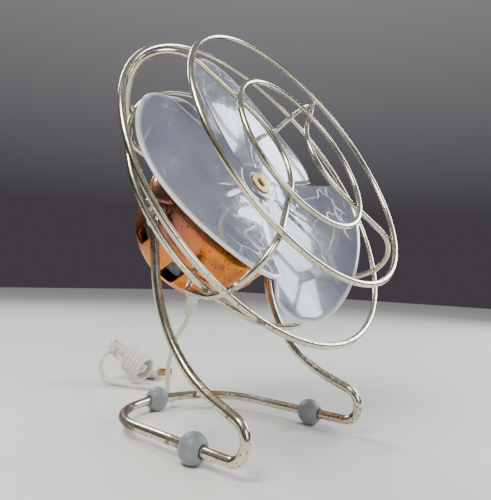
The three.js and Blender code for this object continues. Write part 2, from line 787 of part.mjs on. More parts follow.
// One arm in the plane through the shaft at its angle, from the front corner to its socket.
function armCorners(angle) {
  return [
    { at: polar(armSideR, angle, armFrontZ), bend: ARM_FRONT_BEND },
    { at: polar(armSideR, angle, ARM_SIDE_Z), bend: ARM_SIDE_BEND },
    { at: polar(ARM_BACK_R, angle, SOCKET_Z), bend: ARM_BACK_BEND },
    { at: polar(socketTop - SOCKET_LENGTH + 2, angle, SOCKET_Z) },
  ];
}

// Two arms joined by a wide bend in front of the hub.
function hairpin(turn) {
  const [first, second] = ARM_ANGLES.map((angle) => armCorners(angle + turn));
  const nose = { at: new THREE.Vector3(0, 0, armFrontZ), bend: HAIRPIN_NOSE_BEND };
  const corners = [...first.reverse(), nose, ...second];
  return swept(bentPoints(corners, 24), WIRE_D, WIRE_SIDES);
}

place(head, 'guard_hairpin_left', hairpin(0), chrome());
place(head, 'guard_hairpin_right', hairpin(RIGHT_HAIRPIN_TURN), chrome());

// Short sockets brazed to the front shell, each holding one wire end.
function socket(angle) {
  const post = bar(SOCKET_R, FRONT_SHELL_R - 4, socketTop, 16);
  const seat = bar(FRONT_SHELL_R + GAP, SOCKET_Z - 20, SOCKET_Z + 20, 48);
  const bore = bar(WIRE_D / 2 + 2 * GAP, FRONT_SHELL_R + GAP + 1.4, socketTop + 5, 16);
  aroundShaft(post, angle).translate(0, 0, SOCKET_Z);
  aroundShaft(bore, angle).translate(0, 0, SOCKET_Z);
  return cut(post, seat, bore);
}

[...ARM_ANGLES, ...ARM_ANGLES.map((angle) => angle + RIGHT_HAIRPIN_TURN)].forEach((angle, i) => {
  place(head, `guard_socket_${i + 1}`, socket(angle), chrome());
});

// ---------------------------------------------------------------- pivots

const spacerFrom = FRONT_SHELL_R - 2;
const spacerTo = eyeInner - GAP;

function sideways(geometry, side) {
  return geometry.rotateY((side * Math.PI) / 2);
}

function pivotSpacer(side) {
  const body = tube(PIVOT_SPACER_R, PIVOT_SCREW_D / 2 + GAP, spacerFrom, spacerTo, 24);
  const seat = bar(FRONT_SHELL_R + GAP, -30, 30, 48);
  return cut(sideways(body, side), seat);
}

function pivotWasher(side) {
  const from = eyeOuter + GAP;
  return sideways(tube(PIVOT_WASHER_R, PIVOT_SCREW_D / 2 + GAP, from, from + PIVOT_WASHER_T, 24), side);
}

function pivotScrew(side) {
  const headFrom = eyeOuter + PIVOT_WASHER_T + 2 * GAP;
  const shank = bar(PIVOT_SCREW_D / 2, FRONT_SHELL_R + GAP + 0.5, headFrom + 0.5, 16);
  const cap = turned([
    [0, headFrom],
    [PIVOT_HEAD_R, headFrom],
    [PIVOT_HEAD_R, headFrom + 1.2],
    [PIVOT_HEAD_R * 0.8, headFrom + PIVOT_HEAD_T * 0.75],
    [PIVOT_HEAD_R * 0.4, headFrom + PIVOT_HEAD_T],
    [0, headFrom + PIVOT_HEAD_T],
  ], 24);
  const slotBlock = new THREE.BoxGeometry(1.3, 2 * PIVOT_HEAD_R + 2, 3);
  slotBlock.translate(0, 0, headFrom + PIVOT_HEAD_T);
  return sideways(cut(join(shank, cap), slotBlock), side);
}

for (const [word, side] of [['left', -1], ['right', 1]]) {
  place(head, `${word}_pivot_spacer`, pivotSpacer(side), steel());
  place(head, `${word}_pivot_washer`, pivotWasher(side), steel());
  place(head, `${word}_pivot_screw`, pivotScrew(side), steel());
}

// ---------------------------------------------------------------- supply lead

const grommetFrom = REAR_SHELL_CORNER + GAP;
const grommetBoreR = CORD_D / 2 + GAP;

// Rubber strain relief: a plug in the casing, a flange outside it, then a taper.
place(head, 'cord_grommet', atCordExit(turned([
  [grommetBoreR, grommetFrom - 6],
  [GROMMET_R, grommetFrom - 6],
  [GROMMET_R, grommetFrom],
  [GROMMET_R + 2, grommetFrom],
  [GROMMET_R + 2, grommetFrom + 2.5],
  [GROMMET_R, grommetFrom + 3.5],
  [grommetBoreR + 1.2, grommetFrom + GROMMET_LENGTH],
  [grommetBoreR, grommetFrom + GROMMET_LENGTH],
  [grommetBoreR, grommetFrom - 6],
], 16)), ivoryVinyl());

// A point on the middle line of the strain relief, this far beyond its end.
function beyondGrommet(distance) {
  const spot = new THREE.BufferGeometry().setFromPoints([
    new THREE.Vector3(0, 0, grommetFrom + GROMMET_LENGTH + distance),
  ]);
  head.updateMatrixWorld(true);
  const local = new THREE.Vector3().fromBufferAttribute(atCordExit(spot).attributes.position, 0);
  return local.applyMatrix4(head.matrixWorld);
}

const restZ = CORD_D / 2 + FLOOR_CLEARANCE;
const barrelZ = BARREL_R * Math.cos(HANK_RISE) + FLOOR_CLEARANCE;
const hankBack = new THREE.Vector3(
  Math.cos(HANK_HEADING) * Math.cos(HANK_RISE),
  Math.sin(HANK_HEADING) * Math.cos(HANK_RISE),
  Math.sin(HANK_RISE),
);
const hankAcross = new THREE.Vector3(Math.sin(HANK_HEADING), -Math.cos(HANK_HEADING), 0);

// A point in the hank: this far back from the barrel's front face, and this far to its right.
function inHank(back, across) {
  return new THREE.Vector3(HANK_FRONT[0], HANK_FRONT[1], barrelZ)
    .addScaledVector(hankBack, back).addScaledVector(hankAcross, across);
}

// Moves geometry drawn with +Z back along the hank and +X to its right.
function atHank(geometry) {
  const up = hankBack.clone().cross(hankAcross);
  const basis = new THREE.Matrix4().makeBasis(hankAcross, up, hankBack);
  const front = inHank(0, 0);
  return geometry.applyMatrix4(basis.setPosition(front));
}

// The folded lead with its last turns wound round one end.
function hank() {
  const fold = new THREE.Shape();
  const w = HANK_HALF_WIDTH;
  fold.moveTo(-w, w);
  fold.absarc(0, w, w, Math.PI, 2 * Math.PI);
  fold.lineTo(w, HANK_LENGTH - w);
  fold.absarc(0, HANK_LENGTH - w, w, 0, Math.PI);
  const plate = new THREE.ExtrudeGeometry(fold, {
    depth: 2 * HANK_HALF_HEIGHT, bevelEnabled: false, curveSegments: 8,
  });
  plate.translate(0, 0, -HANK_HALF_HEIGHT).rotateX(Math.PI / 2);
  return atHank(join(bar(BARREL_R, 0, BARREL_LENGTH, 24), plate));
}

place(fan, 'cord_hank', hank(), ivoryVinyl());

function cordTube(points, steps) {
  return swept(new THREE.CatmullRomCurve3(points).getPoints(steps), CORD_D, WIRE_SIDES);
}

const besideHank = HANK_HALF_WIDTH + GAP;

// The lead drops over the base bow, lies on the floor and loops up into the side of the hank.
place(fan, 'power_cord', cordTube([
  beyondGrommet(GAP),
  beyondGrommet(8),
  new THREE.Vector3(-1, 77, 76),
  new THREE.Vector3(0, 85, 66),
  new THREE.Vector3(2, 91, 53),
  new THREE.Vector3(7, 99, 39),
  new THREE.Vector3(19, 112, 22),
  new THREE.Vector3(34, 127, 8),
  new THREE.Vector3(47, 139, restZ),
  new THREE.Vector3(57, 150, restZ),
  new THREE.Vector3(57, 166, restZ),
  new THREE.Vector3(48, 184, restZ),
  new THREE.Vector3(40, 200, restZ),
  new THREE.Vector3(36, 216, restZ),
  new THREE.Vector3(33, 229, restZ + 1),
  new THREE.Vector3(30, 237, 9),
  new THREE.Vector3(28, 240, 18),
  new THREE.Vector3(29, 239, 28),
  inHank(LEAD_ENTRY, -besideHank - 9).setZ(35),
  inHank(LEAD_ENTRY, -besideHank - 4),
  inHank(LEAD_ENTRY, -besideHank),
], 50), ivoryVinyl());

const plugZ = PLUG_HEIGHT / 2 + FLOOR_CLEARANCE;

// Moves geometry drawn with +X forwards from the plug's rear face.
function atPlug(geometry) {
  return geometry.rotateZ(PLUG_HEADING).translate(PLUG_REAR[0], PLUG_REAR[1], plugZ);
}

function behindPlug(distance) {
  return new THREE.Vector3(
    PLUG_REAR[0] - distance * Math.cos(PLUG_HEADING),
    PLUG_REAR[1] - distance * Math.sin(PLUG_HEADING),
    plugZ,
  );
}

// The end of the lead comes out of the other side of the hank and down to the plug.
place(fan, 'cord_tail', cordTube([
  inHank(TAIL_EXIT, besideHank),
  inHank(TAIL_EXIT, besideHank + 5),
  new THREE.Vector3(77, 251, 32),
  new THREE.Vector3(79, 257, 25),
  new THREE.Vector3(77, 259, 17),
  new THREE.Vector3(75, 254, 10),
  behindPlug(5),
  behindPlug(GAP),
], 24), ivoryVinyl());

function plugBody() {
  const rear = PLUG_REAR_WIDTH / 2;
  const front = PLUG_FRONT_WIDTH / 2;
  const shape = new THREE.Shape();
  shape.moveTo(0, -rear);
  shape.quadraticCurveTo(PLUG_LENGTH * 0.45, -rear, PLUG_LENGTH * 0.6, -front);
  shape.lineTo(PLUG_LENGTH, -front);
  shape.lineTo(PLUG_LENGTH, front);
  shape.lineTo(PLUG_LENGTH * 0.6, front);
  shape.quadraticCurveTo(PLUG_LENGTH * 0.45, rear, 0, rear);
  const body = new THREE.ExtrudeGeometry(shape, {
    depth: PLUG_HEIGHT, bevelEnabled: false, curveSegments: 6,
  });
  return atPlug(body.translate(0, 0, -PLUG_HEIGHT / 2));
}

place(fan, 'plug_body', plugBody(), ivoryVinyl());
for (const [name, side] of [['plug_blade_1', 1], ['plug_blade_2', -1]]) {
  const blade = new THREE.BoxGeometry(PLUG_BLADE_LENGTH, PLUG_BLADE_T, PLUG_BLADE_WIDTH);
  const ahead = PLUG_LENGTH + GAP + PLUG_BLADE_LENGTH / 2;
  blade.translate(ahead, (side * PLUG_BLADE_PITCH) / 2, 0);
  place(fan, name, atPlug(blade), brass());
}

// The origin goes to the middle of the fan's footprint, without the supply lead.
const LEAD_NODES = ['power_cord', 'cord_hank', 'cord_tail', 'plug_body', 'plug_blade_1', 'plug_blade_2'];
const footprint = new THREE.Box3();
fan.updateMatrixWorld(true);
fan.traverse((piece) => {
  if (piece.isMesh && !LEAD_NODES.includes(piece.name)) {
    footprint.expandByObject(piece, true);
  }
});
fan.position.y = -(footprint.min.y + footprint.max.y) / 2;
fan.updateMatrixWorld(true);

export default fan;
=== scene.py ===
import json
import math

import bmesh
import bpy
from mathutils import Matrix, Vector


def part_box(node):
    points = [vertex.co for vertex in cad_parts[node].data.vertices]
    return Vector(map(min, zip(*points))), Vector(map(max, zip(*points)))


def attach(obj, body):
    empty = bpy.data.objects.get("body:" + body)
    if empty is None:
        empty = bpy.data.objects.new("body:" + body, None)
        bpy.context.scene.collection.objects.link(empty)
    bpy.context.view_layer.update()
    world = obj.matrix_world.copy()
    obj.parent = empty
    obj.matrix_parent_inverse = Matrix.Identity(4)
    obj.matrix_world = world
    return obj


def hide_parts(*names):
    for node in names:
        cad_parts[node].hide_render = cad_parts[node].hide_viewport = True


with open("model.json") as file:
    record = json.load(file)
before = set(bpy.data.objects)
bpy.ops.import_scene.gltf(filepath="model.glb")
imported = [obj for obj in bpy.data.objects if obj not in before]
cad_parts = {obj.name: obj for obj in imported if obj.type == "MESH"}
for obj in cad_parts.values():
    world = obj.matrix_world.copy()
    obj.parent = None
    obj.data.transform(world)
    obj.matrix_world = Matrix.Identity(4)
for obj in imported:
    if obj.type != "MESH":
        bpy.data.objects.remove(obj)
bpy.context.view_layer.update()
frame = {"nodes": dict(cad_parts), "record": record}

# Desk fan: wire guard, clear blades, copper plated motor pot, bent rod stand, folded lead.
# Blender works in metres; sizes given in millimetres are multiplied by MM.

MM = 0.001
TURN = 2 * math.pi

# ------------------------------------------------------------------ frames and shared sizes

joints = {joint["name"]: joint for joint in frame["record"]["behaviour"]["joints"]}
PIVOT = Vector(joints["head_tilt"]["pos_m"])
SHAFT = Vector(joints["fan_spin"]["axis"]).normalized()
ACROSS = Vector((1, 0, 0))
WORLD_UP = Vector((0, 0, 1))
UP_SLOPE = SHAFT.cross(ACROSS)
HEAD = Matrix.Translation(PIVOT) @ Matrix((ACROSS, UP_SLOPE, SHAFT)).transposed().to_4x4()

# The plan of the stand and lead is given from the design origin, this far in front of the row's.
PIVOT_Y = 39.4
DESIGN_SHIFT = Vector((0, PIVOT.y - PIVOT_Y * MM, 0))

WIRE_R = 2.4 * MM
ROD_R = 3.75 * MM
BALL_R = 11 * MM
BORE_CLEARANCE = 0.25 * MM


def head_mm(radius, angle, along):
    """A point given round the shaft, in mm and radians, as a place in the row frame."""
    return HEAD @ (Vector((radius * math.cos(angle), radius * math.sin(angle), along)) * MM)


def design_mm(x, y, z):
    """A point of the stand or lead, in mm from the design origin, as a place in the row frame."""
    return Vector((x, y, z)) * MM + DESIGN_SHIFT


# ------------------------------------------------------------------ camera

camera_data = bpy.data.cameras.new("camera")
camera_data.lens = 36.53
camera_data.sensor_width = 36
camera_data.shift_y = -0.159
camera_data.clip_start = 0.01
camera = bpy.data.objects.new("camera", camera_data)
bpy.context.scene.collection.objects.link(camera)
CAMERA_RIGHT = Vector((0.64128, -0.76621, 0.04102))
CAMERA_UP = Vector((-0.18267, -0.10053, 0.97802))
CAMERA_BACK = CAMERA_RIGHT.cross(CAMERA_UP)
camera.matrix_world = (
    Matrix.Translation(design_mm(-351.3, -295.1, 129.8))
    @ Matrix((CAMERA_RIGHT, CAMERA_UP, CAMERA_BACK)).transposed().to_4x4()
)
bpy.context.scene.camera = camera

# ------------------------------------------------------------------ material helpers


class Nodes:
    """A material with a Principled shader and short ways to add texture nodes."""

    def __init__(self, name):
        self.material = bpy.data.materials.new(name)
        self.material.use_nodes = True
        self.tree = self.material.node_tree
        self.shader = self.tree.nodes["Principled BSDF"]
        self.place = self.add("ShaderNodeTexCoord").outputs["Object"]

    def add(self, kind, **values):
        node = self.tree.nodes.new(kind)
        for key, value in values.items():
            setattr(node, key, value)
        return node

    def link(self, output, socket):
        self.tree.links.new(output, socket)

    def set(self, **values):
        for key, value in values.items():
            self.shader.inputs[key.replace("_", " ")].default_value = value

    def noise(self, scale, detail=4.0, rough=0.55, stretch=None):
        node = self.add("ShaderNodeTexNoise")
        node.inputs["Scale"].default_value = scale
        node.inputs["Detail"].default_value = detail
        node.inputs["Roughness"].default_value = rough
        self.link(self.mapped(stretch), node.inputs["Vector"])
        return node.outputs["Fac"]

    def mapped(self, stretch):
        if stretch is None:
            return self.place
        node = self.add("ShaderNodeMapping")
        node.inputs["Scale"].default_value = stretch
        self.link(self.place, node.inputs["Vector"])
        return node.outputs["Vector"]

    def cells(self, scale):
        node = self.add("ShaderNodeTexVoronoi")
        node.inputs["Scale"].default_value = scale
        self.link(self.place, node.inputs["Vector"])
        return node.outputs["Distance"]

    def ramp(self, value, *stops):
        node = self.add("ShaderNodeValToRGB")
        ramp = node.color_ramp
        while len(ramp.elements) < len(stops):
            ramp.elements.new(0.5)
        for element, (place, colour) in zip(ramp.elements, stops):
            element.position = place
            if not hasattr(colour, "__len__"):
                colour = (colour, colour, colour)
            element.color = (*colour, 1)
        self.link(value, node.inputs["Fac"])
        return node.outputs["Color"]

    def mix(self, factor, first, second, blend="MIX"):
        node = self.add("ShaderNodeMix", data_type="RGBA", blend_type=blend)
        sockets = (node.inputs[0], node.inputs[6], node.inputs[7])
        for value, socket in zip((factor, first, second), sockets):
            if isinstance(value, bpy.types.NodeSocket):
                self.link(value, socket)
            elif hasattr(value, "__len__"):
                socket.default_value = (*value, 1)
            else:
                socket.default_value = value
        return node.outputs[2]

    def bump(self, height, strength, distance):
        node = self.add("ShaderNodeBump")
        node.inputs["Strength"].default_value = strength
        node.inputs["Distance"].default_value = distance
        self.link(height, node.inputs["Height"])
        self.link(node.outputs["Normal"], self.shader.inputs["Normal"])

    def sum(self, first, second):
        node = self.add("ShaderNodeMath", operation="ADD")
        self.link(first, node.inputs[0])
        self.link(second, node.inputs[1])
        return node.outputs[0]

    def scaled(self, value, factor):
        node = self.add("ShaderNodeMath", operation="MULTIPLY")
        self.link(value, node.inputs[0])
        node.inputs[1].default_value = factor
        return node.outputs[0]

    def height(self):
        node = self.add("ShaderNodeSeparateXYZ")
        self.link(self.place, node.inputs[0])
        return node.outputs["Z"]

    def distance_from(self, point):
        node = self.add("ShaderNodeVectorMath", operation="DISTANCE")
        self.link(self.place, node.inputs[0])
        node.inputs[1].default_value = point
        return node.outputs["Value"]

    def creases_and_glints(self, scale, width):
        """Thin wandering lines, drawn in some areas and not in others."""
        wander = self.add("ShaderNodeTexNoise")
        wander.inputs["Scale"].default_value = 2 * scale
        self.link(self.place, wander.inputs["Vector"])
        warped = self.add("ShaderNodeVectorMath", operation="MULTIPLY_ADD")
        self.link(wander.outputs["Color"], warped.inputs[0])
        warped.inputs[1].default_value = (0.03, 0.03, 0.03)
        self.link(self.place, warped.inputs[2])
        lines = self.add("ShaderNodeTexVoronoi", feature="DISTANCE_TO_EDGE")
        lines.inputs["Scale"].default_value = scale
        self.link(warped.outputs["Vector"], lines.inputs["Vector"])
        drawn = self.ramp(lines.outputs["Distance"], (0.0, 1.0), (width, 0.0))
        areas = self.ramp(self.noise(0.5 * scale, 2), (0.48, 0.0), (0.6, 1.0))
        return self.mix(1.0, drawn, areas, "MULTIPLY")

    def attribute(self, name):
        return self.add("ShaderNodeAttribute", attribute_name=name).outputs["Fac"]


def aged_chrome():
    m = Nodes("aged_chrome")
    broad = m.ramp(
        m.noise(38, 3),
        (0.35, (0.74, 0.68, 0.54)), (0.55, (0.56, 0.54, 0.40)), (0.75, (0.66, 0.57, 0.45)),
    )
    low_down = m.ramp(m.height(), (0.0, 0.055), (0.11, 0.04), (0.2, 0.0))
    at_bend = m.ramp(m.distance_from(RUSTED_BEND), (0.014, 0.22), (0.034, 0.0))
    spread = m.sum(m.sum(m.noise(34, 9, 0.72), low_down), m.sum(at_bend, m.attribute("weld")))
    patches = m.ramp(spread, (0.62, 0.0), (0.69, 1.0))
    pits = m.ramp(m.sum(m.noise(430, 3, 0.6), low_down), (0.64, 0.0), (0.70, 1.0))
    pitted = m.mix(pits, broad, (0.15, 0.09, 0.055))
    rust = m.ramp(m.noise(160, 6), (0.3, (0.055, 0.035, 0.035)), (0.7, (0.20, 0.125, 0.10)))
    m.link(m.mix(patches, pitted, rust), m.shader.inputs["Base Color"])
    m.link(m.ramp(patches, (0.0, 1.0), (1.0, 0.5)), m.shader.inputs["Metallic"])
    worn = m.mix(pits, m.ramp(m.noise(90, 5), (0.3, 0.09), (0.7, 0.24)), (0.6, 0.6, 0.6))
    m.link(m.mix(patches, worn, (0.48, 0.48, 0.48)), m.shader.inputs["Roughness"])
    m.bump(m.noise(300, 5, 0.6), 0.14, 0.0006)
    return m.material


def copper_plate():
    m = Nodes("copper_plate")
    broad = m.ramp(
        m.noise(16, 4),
        (0.3, (0.56, 0.15, 0.025)), (0.55, (0.82, 0.27, 0.04)), (0.8, (0.33, 0.09, 0.04)),
    )
    stain = m.ramp(m.noise(70, 8, 0.7), (0.52, 0.0), (0.70, 0.75))
    stained = m.mix(stain, broad, (0.23, 0.075, 0.05))
    near_pivot = m.ramp(m.distance_from(PIVOT + ACROSS * (-62 * MM)), (0.015, 0.85), (0.06, 0.0))
    shaded = m.mix(near_pivot, stained, (0.26, 0.12, 0.12))
    specks = m.ramp(m.cells(240), (0.13, 1.0), (0.27, 0.0))
    rare = m.ramp(m.noise(110, 2), (0.46, 0.0), (0.56, 1.0))
    marks = m.mix(1.0, specks, rare, "MULTIPLY")
    m.link(m.mix(marks, shaded, (0.07, 0.03, 0.025)), m.shader.inputs["Base Color"])
    m.set(Metallic=1.0)
    m.link(m.ramp(m.noise(60, 6), (0.3, 0.16), (0.75, 0.4)), m.shader.inputs["Roughness"])
    m.bump(m.noise(180, 5), 0.12, 0.0006)
    return m.material


def hazed_plastic():
    m = Nodes("hazed_plastic")
    # Painted highlight: the thin rim of the blades is painted near white.
    edge = m.ramp(m.attribute("edge"), (0.0, 0.0), (1.0, 1.0))
    cloud = m.ramp(m.noise(14, 5), (0.3, (0.19, 0.195, 0.28)), (0.7, (0.33, 0.35, 0.46)))
    # Painted highlights: crease lines and streaks are painted pale over the cloudy tint. The crease lines
    # also shape the real bump below.
    creases_and_glints = m.creases_and_glints(24, 0.035)
    streak_glints = m.ramp(m.noise(60, 6, 0.65, (1.0, 0.25, 0.4)), (0.6, 0.0), (0.72, 0.5))
    cloud_with_glints = m.mix(m.mix(1.0, creases_and_glints, streak_glints, "SCREEN"), cloud, (0.86, 0.90, 0.96))
    m.link(m.mix(edge, cloud_with_glints, (0.96, 0.97, 0.99)), m.shader.inputs["Base Color"])
    m.set(IOR=1.49, Coat_Weight=0.9, Coat_Roughness=0.03)
    m.link(m.ramp(m.attribute("edge"), (0.0, 0.42), (1.0, 0.1)), m.shader.inputs["Transmission Weight"])
    m.link(m.ramp(m.noise(45, 5), (0.3, 0.1), (0.7, 0.26)), m.shader.inputs["Roughness"])
    waves = m.sum(m.noise(20, 3, 0.45), m.scaled(creases_and_glints, 0.25))
    m.bump(waves, 0.5, 0.004)
    return m.material


def satin_rubber():
    m = Nodes("satin_rubber")
    m.link(
        m.ramp(m.noise(60, 6), (0.3, (0.15, 0.175, 0.19)), (0.7, (0.245, 0.275, 0.29))),
        m.shader.inputs["Base Color"],
    )
    m.link(m.ramp(m.noise(240, 4), (0.3, 0.38), (0.7, 0.6)), m.shader.inputs["Roughness"])
    m.set(Coat_Weight=0.15, Coat_Roughness=0.3)
    m.bump(m.noise(700, 4), 0.25, 0.0004)
    return m.material


def ivory_vinyl():
    m = Nodes("ivory_vinyl")
    m.link(
        m.ramp(m.noise(45, 5), (0.3, (0.83, 0.81, 0.74)), (0.72, (0.72, 0.69, 0.60))),
        m.shader.inputs["Base Color"],
    )
    m.link(m.ramp(m.noise(200, 4), (0.3, 0.25), (0.7, 0.42)), m.shader.inputs["Roughness"])
    m.set(Subsurface_Weight=0.08, Subsurface_Scale=0.002)
    m.bump(m.noise(600, 3), 0.08, 0.0004)
    return m.material


def metal(name, dark, light, rough, scale=120, stretch=None):
    m = Nodes(name)
    colour = m.ramp(m.noise(scale, 6, 0.6, stretch), (0.3, dark), (0.7, light))
    m.link(colour, m.shader.inputs["Base Color"])
    m.set(Metallic=1.0)
    m.link(
        m.ramp(m.noise(2 * scale, 4, 0.5, stretch), (0.3, rough), (0.7, rough + 0.15)),
        m.shader.inputs["Roughness"],
    )
    m.bump(m.noise(3 * scale, 4), 0.1, 0.0004)
    return m.material


RUSTED_BEND = design_mm(-66, 80, 10.6)

CHROME = aged_chrome()
COPPER = copper_plate()
PLASTIC = hazed_plastic()
RUBBER = satin_rubber()
VINYL = ivory_vinyl()
STEEL = metal("plain_steel", (0.30, 0.28, 0.26), (0.56, 0.54, 0.51), 0.28)
BRASS = metal("worn_brass", (0.34, 0.20, 0.05), (0.62, 0.43, 0.15), 0.3)
BRONZE = metal("sintered_bronze", (0.26, 0.18, 0.10), (0.48, 0.35, 0.20), 0.45, 300)
LAMINATIONS = metal("stacked_laminations", (0.05, 0.05, 0.055), (0.20, 0.20, 0.21), 0.5, 90, (1, 12, 1))
WINDING = metal("enamelled_winding", (0.25, 0.08, 0.03), (0.58, 0.24, 0.10), 0.3, 80, (1, 18, 18))

SLOT_MATERIALS = {
    "chrome_wire": CHROME,
    "copper_plate": COPPER,
    "clear_plastic": PLASTIC,
    "grey_rubber": RUBBER,
    "ivory_vinyl": VINYL,
    "steel": STEEL,
    "brass": BRASS,
    "bronze": BRONZE,
    "laminations": LAMINATIONS,
    "copper_wire": WINDING,
}

# ------------------------------------------------------------------ mesh helpers


def piece(name, mesh, body, slot, *replaced):
    """A new smooth-shaded piece on a body, in a record slot, that stands for CAD nodes."""
    for polygon in mesh.polygons:
        polygon.use_smooth = True
    made = bpy.data.objects.new(name, mesh)
    bpy.context.scene.collection.objects.link(made)
    made.data.materials.append(SLOT_MATERIALS[slot])
    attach(made, body)
    if replaced:
        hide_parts(*replaced)
    return made


def mesh_from(name, points, faces):
    mesh = bpy.data.meshes.new(name)
    mesh.from_pydata([tuple(point) for point in points], [], faces)
    mesh.validate()
    mesh.update()
    return mesh


def sweep(path, sections, closed=False):
    """Points and quads of a bar: sections[i] is the ring of points for path[i]."""
    points = [point for section in sections for point in section]
    sides = len(sections[0])
    count = len(path)
    faces = []
    for i in range(count if closed else count - 1):
        for k in range(sides):
            a = i * sides + k
            b = i * sides + (k + 1) % sides
            c = ((i + 1) % count) * sides + (k + 1) % sides
            d = ((i + 1) % count) * sides + k
            faces.append((a, b, c, d))
    if not closed:
        faces.append(tuple(reversed(range(sides))))
        faces.append(tuple((count - 1) * sides + k for k in range(sides)))
    return points, faces


def tangents(path):
    last = len(path) - 1
    return [(path[min(i + 1, last)] - path[max(i - 1, 0)]).normalized() for i in range(last + 1)]


def carried(path, first):
    """A side direction at each point, carried along the path without twist."""
    side = first
    sides = []
    for tangent in tangents(path):
        side = (side - tangent * side.dot(tangent)).normalized()
        sides.append(side)
    return sides


def round_sections(path, side_hints, radius_at, count):
    """Oval rings of points square to the path; radius_at(i) gives both half widths."""
    sections = []
    for i, (tangent, side) in enumerate(zip(tangents(path), side_hints)):
        other = tangent.cross(side)
        wide, thin = radius_at(i)
        turns = [TURN * k / count for k in range(count)]
        sections.append([
            path[i] + side * (wide * math.cos(turn)) + other * (thin * math.sin(turn)) for turn in turns
        ])
    return sections


def bent_path(corners, step=math.radians(4), longest=6 * MM):
    """Straight runs between corners, each (point, bend radius); the two ends have bend 0."""
    points = [corners[0][0].copy()]
    for i in range(1, len(corners) - 1):
        corner, bend = corners[i]
        back = (corners[i - 1][0] - corner).normalized()
        ahead = (corners[i + 1][0] - corner).normalized()
        turn = math.pi - back.angle(ahead)
        centre = corner + (back + ahead).normalized() * (bend / math.cos(turn / 2))
        start = corner + back * (bend * math.tan(turn / 2)) - centre
        end = corner + ahead * (bend * math.tan(turn / 2)) - centre
        axis = start.cross(end).normalized()
        steps = 2 * max(1, math.ceil(turn / step / 2))
        for k in range(steps + 1):
            points.append(centre + Matrix.Rotation(turn * k / steps, 3, axis) @ start)
    points.append(corners[-1][0].copy())
    return spaced(points, longest)


def spaced(points, longest):
    """The same corners, with points added so that no step is longer than this."""
    filled = [points[0]]
    for before, after in zip(points, points[1:]):
        parts = max(1, math.ceil((after - before).length / longest))
        filled.extend(before.lerp(after, k / parts) for k in range(1, parts + 1))
    return filled


def ring_faces(rings, count, outward=True):
    """Quads between neighbouring closed rings of points, the last joined to the first."""
    faces = []
    for k in range(rings):
        for i in range(count):
            a = k * count + i
            b = ((k + 1) % rings) * count + i
            c = ((k + 1) % rings) * count + (i + 1) % count
            d = k * count + (i + 1) % count
            faces.append((a, b, c, d) if outward else (d, c, b, a))
    return faces


def revolved(profile, sides, place):
    """Points and faces of a closed profile of (radius, along) turned about +Z, then placed."""
    points = []
    for k in range(sides):
        angle = TURN * k / sides
        for radius, along in profile:
            points.append(place @ Vector((radius * math.cos(angle), radius * math.sin(angle), along)))
    return points, ring_faces(sides, len(profile))


def catmull(points, steps):
    """A smooth curve through the points, with this many steps between each two."""
    ends = [2 * points[0] - points[1], *points, 2 * points[-1] - points[-2]]
    curve = []
    for i in range(1, len(ends) - 2):
        p0, p1, p2, p3 = ends[i - 1:i + 3]
        for k in range(steps):
            t = k / steps
            curve.append(0.5 * (
                2 * p1 + (p2 - p0) * t + (2 * p0 - 5 * p1 + 4 * p2 - p3) * t ** 2
                + (3 * p1 - p0 - 3 * p2 + p3) * t ** 3
            ))
    curve.append(points[-1].copy())
    return curve


# ------------------------------------------------------------------ supply lead

CORD_WIDTH = 5.2 * MM
CORD_LOBE = 1.5 * MM
CORD_WAIST = 1.25 * MM
CURVE_STEPS = 4
FLAT_ACROSS = 15  # up to this point of the route, the lead's wide side lies across the fan
REST_Z = 3.0
GROMMET_END = 38.3
EXIT_DIRECTION = (HEAD.to_3x3() @ Vector((0, -1, -1))).normalized()
EXIT_CENTRE = HEAD @ (Vector((0, -40, -42)) * MM)

HANK_HEADING = math.radians(105)
HANK_RISE = math.radians(25)
HANK_BACK = Vector((
    math.cos(HANK_HEADING) * math.cos(HANK_RISE),
    math.sin(HANK_HEADING) * math.cos(HANK_RISE),
    math.sin(HANK_RISE),
))
HANK_ACROSS = Vector((math.sin(HANK_HEADING), -math.cos(HANK_HEADING), 0))
HANK_UP = HANK_ACROSS.cross(HANK_BACK)
BARREL_R = 16.2
HANK_FRONT = design_mm(66, 203, BARREL_R * math.cos(HANK_RISE) + 0.4)
PLUG_HEADING = math.radians(-50)
PLUG_FORWARD = Vector((math.cos(PLUG_HEADING), math.sin(PLUG_HEADING), 0))
PLUG_REAR = design_mm(84, 240, 7.9)


def beyond_grommet(distance):
    """A place this many mm past the end of the strain relief, straight out of it."""
    return EXIT_CENTRE + EXIT_DIRECTION * ((GROMMET_END + distance) * MM)


def in_hank(back, across, up=0.0):
    """A place in the bundle, in mm from the middle of its front."""
    return HANK_FRONT + (HANK_BACK * back + HANK_ACROSS * across + HANK_UP * up) * MM


def lead_route():
    """From the strain relief over the base bow, along the floor and up into the bundle's side."""
    before_entry = in_hank(46, -20.3)
    before_entry.z = 35 * MM
    return [
        beyond_grommet(0.3), beyond_grommet(8),
        design_mm(-1, 77, 76), design_mm(0, 85, 66), design_mm(2, 91, 53), design_mm(7, 99, 39),
        design_mm(19, 112, 22), design_mm(34, 127, 8), design_mm(47, 139, REST_Z),
        design_mm(57, 150, REST_Z), design_mm(57, 166, REST_Z), design_mm(48, 184, REST_Z),
        design_mm(40, 200, REST_Z), design_mm(36, 216, REST_Z), design_mm(33, 229, REST_Z + 1),
        design_mm(30, 237, 9), design_mm(28, 240, 18), design_mm(29, 239, 28),
        before_entry, in_hank(46, -15.3), in_hank(46, -11.3),
    ]


def tail_route():
    """From the bundle's other side down to the floor and round into the plug."""
    return [
        in_hank(44, 11.3), in_hank(44, 16.3),
        design_mm(77, 251, 32), design_mm(79, 257, 25), design_mm(77, 259, 17), design_mm(75, 254, 10),
        PLUG_REAR - PLUG_FORWARD * (5 * MM), PLUG_REAR - PLUG_FORWARD * (0.3 * MM),
    ]


